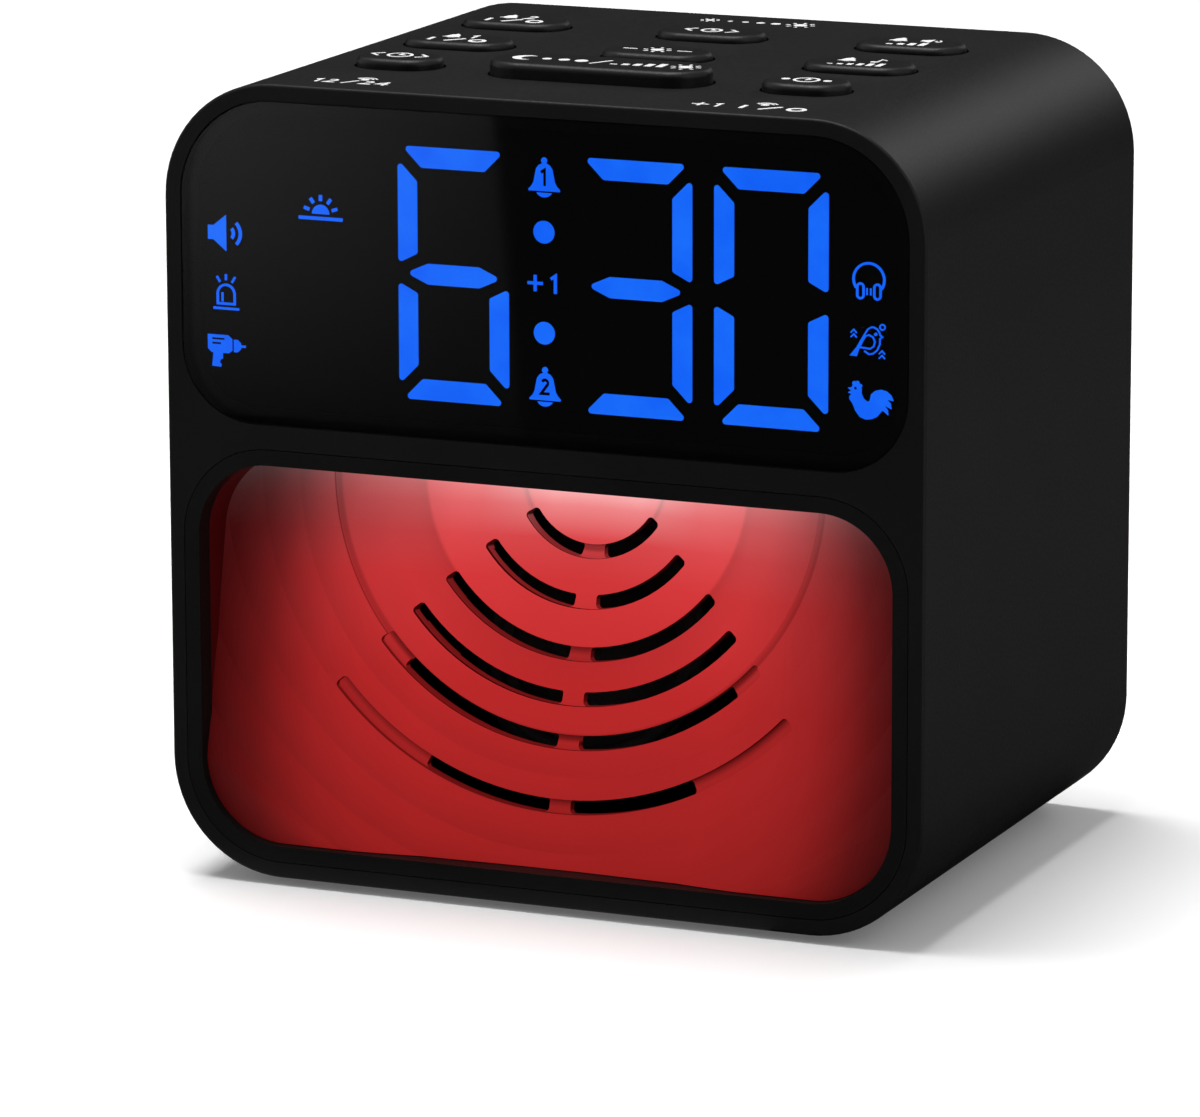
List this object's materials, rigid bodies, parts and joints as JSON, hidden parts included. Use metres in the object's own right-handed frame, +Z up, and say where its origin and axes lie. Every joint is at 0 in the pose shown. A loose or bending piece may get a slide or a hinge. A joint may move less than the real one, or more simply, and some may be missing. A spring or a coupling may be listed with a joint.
{
  "type": "bedside alarm clock",
  "caption": "Cube-shaped bedside alarm clock with a segment display behind a dark lens, a lit dished speaker grille, sprung top buttons, a sliding battery door and rear sockets.",
  "frame": {"origin": "on the table under the middle of the case, at the underside of the rubber feet", "axes": "+X to the right as seen from the front, +Y to the back, +Z up; the display faces -Y"},
  "size_m": [0.1, 0.0756, 0.1029],
  "materials": {
    "case_black": "satin black moulded ABS with a fine spark texture",
    "button_black": "smooth satin black moulded ABS with white printed marks",
    "trim_black": "smooth black moulded plastic",
    "smoked_lens": "polished smoked acrylic",
    "block_black": "matt black reflector block",
    "lit_blue": "blue light pipes, lit",
    "dark_segment": "light pipes, unlit",
    "reflector_red": "satin white moulding lit red from above",
    "foot_rubber": "black rubber",
    "pressed_steel": "zinc plated pressed steel",
    "plated_steel": "nickel plated steel",
    "black_screw": "black zinc plated screw",
    "ferrite": "dark grey ferrite",
    "spider_cloth": "resin-stiffened pleated cloth",
    "cone_paper": "pressed black paper pulp",
    "coil_copper": "enamelled copper winding on its former",
    "board_green": "green solder mask over glass-fibre board",
    "led_yellow": "surface-mount LED with a phosphor window",
    "switch_black": "black nylon",
    "plunger_white": "white nylon",
    "capacitor_can": "sleeved aluminium can",
    "tongue_white": "white connector plastic",
    "contact_brass": "sprung brass leaf",
    "lead_grey": "grey flat lead with PVC insulation"
  },
  "bodies": {
    "case": {"housing_shell": "case_black", "rear_cover": "case_black", "window_trim": "trim_black", "rubber_feet": "foot_rubber", "display_lens": "smoked_lens", "display_block": "block_black", "lit_segments": "lit_blue", "dark_segments": "dark_segment", "display_leds": "led_yellow", "display_board": "board_green", "light_board": "board_green", "button_board": "board_green", "main_board": "board_green", "light_leds": "led_yellow", "light_reflector": "reflector_red", "speaker_basket": "pressed_steel", "speaker_top_plate": "pressed_steel", "speaker_yoke": "pressed_steel", "speaker_magnet": "ferrite", "speaker_surround": "foot_rubber", "speaker_spider": "spider_cloth", "switch_bodies": "switch_black", "controller_chip": "switch_black", "capacitors": "capacitor_can", "power_jack": "switch_black", "power_jack_pin": "plated_steel", "shaker_jack": "switch_black", "usb_port_shell": "plated_steel", "usb_port_tongue": "tongue_white", "battery_holder": "switch_black", "coin_cell": "plated_steel", "battery_contacts": "contact_brass", "board_leads": "lead_grey", "rear_cover_screws": "black_screw", "display_board_screws": "plated_steel", "speaker_screws": "plated_steel", "button_board_screws": "plated_steel", "main_board_screws": "plated_steel"},
    "hour_button": {"hour_cap": "button_black", "hour_plunger": "plunger_white"},
    "snooze_button": {"snooze_cap": "button_black", "snooze_plunger": "plunger_white"},
    "minute_button": {"minute_cap": "button_black", "minute_plunger": "plunger_white"},
    "alarm_one_button": {"alarm_one_cap": "button_black", "alarm_one_plunger": "plunger_white"},
    "light_button": {"light_cap": "button_black", "light_plunger": "plunger_white"},
    "sound_button": {"sound_cap": "button_black", "sound_plunger": "plunger_white"},
    "alarm_two_button": {"alarm_two_cap": "button_black", "alarm_two_plunger": "plunger_white"},
    "time_set_button": {"time_set_cap": "button_black", "time_set_plunger": "plunger_white"},
    "volume_button": {"volume_cap": "button_black", "volume_plunger": "plunger_white"},
    "battery_cover": {"battery_door": "case_black"},
    "speaker_diaphragm": {"speaker_cone": "cone_paper", "voice_coil": "coil_copper", "dust_cap": "cone_paper"}
  },
  "joints": [
    {"name": "hour_press", "type": "slide", "parent": "case", "child": "hour_button", "axis": [0, 0, -1], "range_m": [0, 0.0005], "stiffness_N_per_m": 250},
    {"name": "snooze_press", "type": "slide", "parent": "case", "child": "snooze_button", "axis": [0, 0, -1], "range_m": [0, 0.0005], "stiffness_N_per_m": 250},
    {"name": "minute_press", "type": "slide", "parent": "case", "child": "minute_button", "axis": [0, 0, -1], "range_m": [0, 0.0005], "stiffness_N_per_m": 250},
    {"name": "alarm_one_press", "type": "slide", "parent": "case", "child": "alarm_one_button", "axis": [0, 0, -1], "range_m": [0, 0.0005], "stiffness_N_per_m": 250},
    {"name": "light_press", "type": "slide", "parent": "case", "child": "light_button", "axis": [0, 0, -1], "range_m": [0, 0.0005], "stiffness_N_per_m": 250},
    {"name": "sound_press", "type": "slide", "parent": "case", "child": "sound_button", "axis": [0, 0, -1], "range_m": [0, 0.0005], "stiffness_N_per_m": 250},
    {"name": "alarm_two_press", "type": "slide", "parent": "case", "child": "alarm_two_button", "axis": [0, 0, -1], "range_m": [0, 0.0005], "stiffness_N_per_m": 250},
    {"name": "time_set_press", "type": "slide", "parent": "case", "child": "time_set_button", "axis": [0, 0, -1], "range_m": [0, 0.0005], "stiffness_N_per_m": 250},
    {"name": "volume_press", "type": "slide", "parent": "case", "child": "volume_button", "axis": [0, 0, -1], "range_m": [0, 0.0005], "stiffness_N_per_m": 250},
    {"name": "battery_cover_slide", "type": "slide", "parent": "case", "child": "battery_cover", "axis": [0, 1, 0], "range_m": [0, 0.032]},
    {"name": "diaphragm_stroke", "type": "slide", "parent": "case", "child": "speaker_diaphragm", "axis": [0, -0.9397, 0.342], "range_m": [-0.0005, 0.0005], "stiffness_N_per_m": 300}
  ]
}
